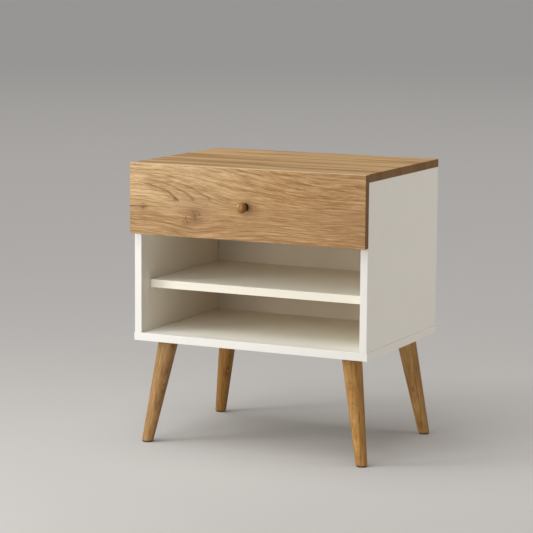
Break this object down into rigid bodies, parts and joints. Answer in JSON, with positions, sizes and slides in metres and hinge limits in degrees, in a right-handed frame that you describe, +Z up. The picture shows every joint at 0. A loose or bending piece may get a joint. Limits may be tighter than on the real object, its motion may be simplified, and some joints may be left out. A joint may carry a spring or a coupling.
{
  "type": "nightstand",
  "caption": "Nightstand with a wood-fronted sliding drawer above an open shelved niche, standing on splayed tapered round legs.",
  "frame": {"origin": "centre of the overall outline at floor level", "axes": "+Z up, front with the drawer facing -Y, +X to the right of a person facing the front"},
  "size_m": [0.503, 0.395, 0.565],
  "materials": {
    "oak_veneer": "satin oak-grain veneer, straight and cathedral grain",
    "oak_solid": "satin clear-lacquered solid oak",
    "white_board": "matte white melamine-faced particle board",
    "white_hardboard": "white-lacquered hardboard",
    "beech": "fluted raw beech",
    "steel": "zinc-plated steel",
    "zinc_alloy": "die-cast zinc alloy",
    "white_steel": "white epoxy-coated sheet steel",
    "nylon": "natural white nylon",
    "bumper_gel": "clear soft polyurethane",
    "glide_plastic": "dark brown moulded plastic"
  },
  "bodies": {
    "carcass": {"top_panel": "oak_veneer", "side_panel_left": "white_board", "side_panel_right": "white_board", "bottom_panel": "white_board", "divider_panel": "white_board", "back_panel": "white_hardboard", "shelf": "white_board", "shelf_pins": "steel", "cam_locks": "zinc_alloy", "cam_bolts": "steel", "dowels": "beech", "confirmat_screws": "steel", "leg_front_left": "oak_solid", "leg_front_right": "oak_solid", "leg_rear_left": "oak_solid", "leg_rear_right": "oak_solid", "leg_plate_front_left": "steel", "leg_plate_front_right": "steel", "leg_plate_rear_left": "steel", "leg_plate_rear_right": "steel", "hanger_bolts": "steel", "leg_plate_screws": "steel", "glide_front_left": "glide_plastic", "glide_front_right": "glide_plastic", "glide_rear_left": "glide_plastic", "glide_rear_right": "glide_plastic", "rail_left": "white_steel", "rail_right": "white_steel", "rail_axles": "steel", "rail_screws": "steel"},
    "drawer": {"runner_left": "white_steel", "runner_right": "white_steel", "runner_axles": "steel", "runner_screws": "steel", "drawer_front": "oak_veneer", "drawer_side_left": "white_board", "drawer_side_right": "white_board", "drawer_back": "white_board", "drawer_bottom": "white_hardboard", "drawer_cam_locks": "zinc_alloy", "drawer_cam_bolts": "steel", "drawer_dowels": "beech", "drawer_confirmats": "steel", "drawer_bottom_screws": "steel", "drawer_bumpers": "bumper_gel", "knob": "oak_solid", "knob_screw": "steel"},
    "rail_roller_left": {"rail_roller_left": "nylon"},
    "rail_roller_right": {"rail_roller_right": "nylon"},
    "runner_roller_left": {"runner_roller_left": "nylon"},
    "runner_roller_right": {"runner_roller_right": "nylon"}
  },
  "joints": [
    {"name": "drawer_slide", "type": "slide", "parent": "carcass", "child": "drawer", "axis": [0, -1, 0], "range_m": [0, 0.225]},
    {"name": "rail_roller_left_spin", "type": "hinge", "parent": "carcass", "child": "rail_roller_left", "pos_m": [-0.2284, -0.1445, 0.4614], "axis": [1, 0, 0], "continuous": true},
    {"name": "runner_roller_left_spin", "type": "hinge", "parent": "drawer", "child": "runner_roller_left", "pos_m": [-0.2284, 0.1295, 0.458], "axis": [1, 0, 0], "continuous": true},
    {"name": "rail_roller_right_spin", "type": "hinge", "parent": "carcass", "child": "rail_roller_right", "pos_m": [0.2284, -0.1445, 0.4614], "axis": [1, 0, 0], "continuous": true},
    {"name": "runner_roller_right_spin", "type": "hinge", "parent": "drawer", "child": "runner_roller_right", "pos_m": [0.2284, 0.1295, 0.458], "axis": [1, 0, 0], "continuous": true}
  ],
  "couplings": [
    {"joint": "rail_roller_left_spin", "follows": "drawer_slide", "rad_per_m": 95.238},
    {"joint": "runner_roller_left_spin", "follows": "drawer_slide", "rad_per_m": 95.238},
    {"joint": "rail_roller_right_spin", "follows": "drawer_slide", "rad_per_m": 95.238},
    {"joint": "runner_roller_right_spin", "follows": "drawer_slide", "rad_per_m": 95.238}
  ]
}
